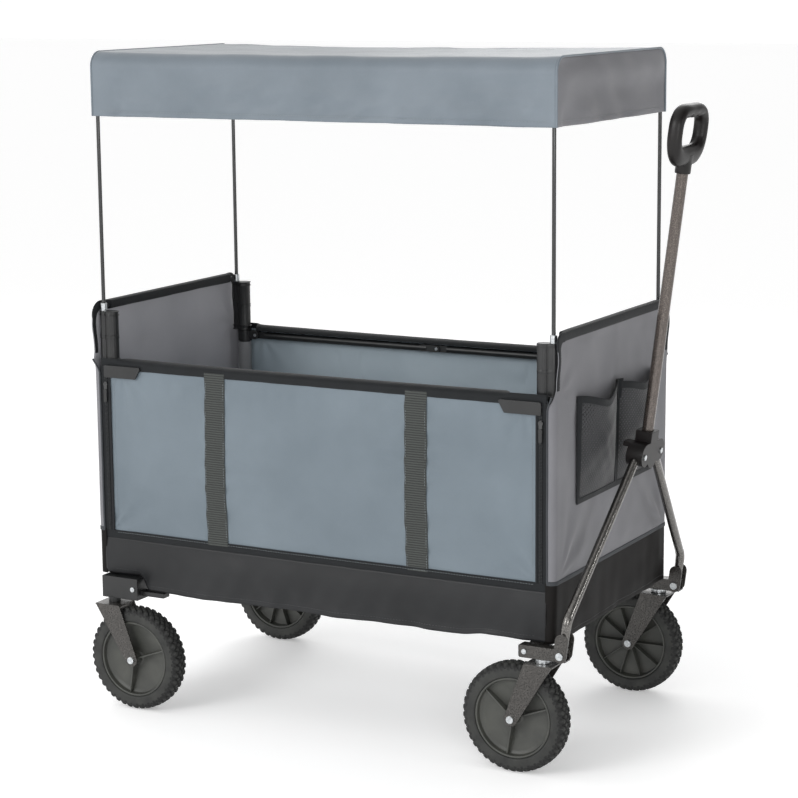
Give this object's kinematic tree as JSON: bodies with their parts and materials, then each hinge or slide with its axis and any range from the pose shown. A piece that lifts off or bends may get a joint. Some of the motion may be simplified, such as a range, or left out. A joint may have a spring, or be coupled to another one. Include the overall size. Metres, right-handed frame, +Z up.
{
  "type": "kids pull wagon",
  "caption": "Folding cloth-sided pull wagon with spoked wheels, swivelling front casters, tall yoked pull handle, end pockets and a lift-off canopy on two hoops.",
  "frame": {"origin": "on the ground, in the middle of the whole wagon's box", "axes": "+X towards the pull handle, +Y to the wagon's left, +Z up"},
  "size_m": [1.1004, 0.565, 1.199],
  "materials": {
    "painted_steel": "satin black powder coat",
    "hammered_steel": "hammered grey paint",
    "zinc_steel": "zinc plated",
    "black_plastic": "moulded",
    "grip_plastic": "moulded, fine texture",
    "hub_plastic": "moulded",
    "tyre_rubber": "moulded tread",
    "side_cloth": "coated polyester, plain weave",
    "end_cloth": "coated polyester, plain weave",
    "canopy_cloth": "coated polyester, plain weave",
    "tub_cloth": "coated polyester",
    "binding": "woven binding tape",
    "webbing": "ribbed polyester webbing",
    "mesh_net": "open polyester mesh",
    "floor_mat": "padded polyester over board"
  },
  "bodies": {
    "rear_frame": {"rear_posts": "painted_steel", "rear_cross_tube": "painted_steel", "rear_top_rod": "painted_steel", "rear_sockets": "black_plastic", "rear_corner_blocks": "black_plastic", "rear_forks": "hammered_steel", "rear_axles": "zinc_steel", "rear_end_panel": "end_cloth", "rear_pockets": "mesh_net", "rear_skirt": "tub_cloth", "rear_rail_brackets": "black_plastic", "rear_fasteners": "zinc_steel", "rear_corner_zips": "binding", "side_panels": "side_cloth", "side_skirts": "tub_cloth", "panel_bindings": "binding", "side_straps": "webbing"},
    "floor_rear": {"floor_frame_rear": "painted_steel", "floor_board_rear": "floor_mat", "floor_hinge_pins": "zinc_steel"},
    "floor_front": {"floor_frame_front": "painted_steel", "floor_board_front": "floor_mat", "lift_strap": "binding"},
    "rails_rear": {"rails_rear": "painted_steel", "rail_hinge_pins": "zinc_steel"},
    "rails_front": {"rails_front": "painted_steel"},
    "front_frame": {"front_posts": "painted_steel", "front_cross_tube": "painted_steel", "front_top_rod": "painted_steel", "front_sockets": "black_plastic", "front_brackets": "hammered_steel", "front_end_panel": "end_cloth", "front_pockets": "mesh_net", "front_skirt": "tub_cloth", "front_rail_brackets": "black_plastic", "front_fasteners": "zinc_steel", "front_corner_zips": "binding"},
    "caster_left": {"caster_fork_left": "hammered_steel", "caster_axle_left": "zinc_steel"},
    "caster_right": {"caster_fork_right": "hammered_steel", "caster_axle_right": "zinc_steel"},
    "wheel_rear_left": {"tyre_rear_left": "tyre_rubber", "hub_rear_left": "hub_plastic"},
    "wheel_rear_right": {"tyre_rear_right": "tyre_rubber", "hub_rear_right": "hub_plastic"},
    "wheel_front_left": {"tyre_front_left": "tyre_rubber", "hub_front_left": "hub_plastic"},
    "wheel_front_right": {"tyre_front_right": "tyre_rubber", "hub_front_right": "hub_plastic"},
    "handle": {"yoke_ends": "hammered_steel", "yoke_tubes": "hammered_steel", "handle_block": "grip_plastic", "handle_tube": "hammered_steel", "grip": "grip_plastic", "handle_rivets": "zinc_steel"},
    "canopy_rear": {"hoop_rear": "painted_steel", "ferrules_rear": "zinc_steel", "canopy_cover": "canopy_cloth"},
    "canopy_front": {"hoop_front": "painted_steel", "ferrules_front": "zinc_steel"}
  },
  "joints": [
    {"name": "fold", "type": "hinge", "parent": "rear_frame", "child": "floor_rear", "pos_m": [-0.46517, 0, 0.237], "axis": [0, -1, 0], "range_deg": [0, 68], "deforming": ["side_panels", "side_skirts", "panel_bindings", "side_straps", "canopy_cover"]},
    {"name": "floor_middle", "type": "hinge", "parent": "floor_rear", "child": "floor_front", "pos_m": [-0.06017, 0, 0.237], "axis": [0, -1, 0], "range_deg": [-136, 0]},
    {"name": "floor_front_end", "type": "hinge", "parent": "floor_front", "child": "front_frame", "pos_m": [0.34483, 0, 0.237], "axis": [0, -1, 0], "range_deg": [0, 68]},
    {"name": "rail_fold", "type": "hinge", "parent": "rear_frame", "child": "rails_rear", "pos_m": [-0.46517, 0, 0.627], "axis": [0, 1, 0], "range_deg": [0, 68]},
    {"name": "rail_middle", "type": "hinge", "parent": "rails_rear", "child": "rails_front", "pos_m": [-0.06017, 0, 0.627], "axis": [0, 1, 0], "range_deg": [-136, 0]},
    {"name": "handle_hinge", "type": "hinge", "parent": "front_frame", "child": "handle", "pos_m": [0.41983, 0, 0.21375], "axis": [0, 1, 0], "range_deg": [0, 90]},
    {"name": "swivel_left", "type": "hinge", "parent": "front_frame", "child": "caster_left", "pos_m": [0.38483, 0.254, 0.15], "axis": [0, 0, 1], "continuous": true},
    {"name": "swivel_right", "type": "hinge", "parent": "front_frame", "child": "caster_right", "pos_m": [0.38483, -0.254, 0.15], "axis": [0, 0, 1], "continuous": true},
    {"name": "spin_rear_left", "type": "hinge", "parent": "rear_frame", "child": "wheel_rear_left", "pos_m": [-0.43517, 0.254, 0.096], "axis": [0, 1, 0], "continuous": true},
    {"name": "spin_rear_right", "type": "hinge", "parent": "rear_frame", "child": "wheel_rear_right", "pos_m": [-0.43517, -0.254, 0.096], "axis": [0, 1, 0], "continuous": true},
    {"name": "spin_front_left", "type": "hinge", "parent": "caster_left", "child": "wheel_front_left", "pos_m": [0.33483, 0.254, 0.096], "axis": [0, 1, 0], "continuous": true},
    {"name": "spin_front_right", "type": "hinge", "parent": "caster_right", "child": "wheel_front_right", "pos_m": [0.33483, -0.254, 0.096], "axis": [0, 1, 0], "continuous": true},
    {"name": "canopy_lift", "type": "slide", "parent": "rear_frame", "child": "canopy_rear", "axis": [0, 0, 1], "range_m": [0, 0.11]},
    {"name": "canopy_lift_front", "type": "slide", "parent": "front_frame", "child": "canopy_front", "axis": [0, 0, 1], "range_m": [0, 0.11]}
  ],
  "couplings": [
    {"joint": "floor_middle", "follows": "fold", "ratio": -2},
    {"joint": "floor_front_end", "follows": "fold", "ratio": 1},
    {"joint": "rail_fold", "follows": "fold", "ratio": 1},
    {"joint": "rail_middle", "follows": "fold", "ratio": -2},
    {"joint": "canopy_lift_front", "follows": "canopy_lift", "ratio": 1}
  ]
}
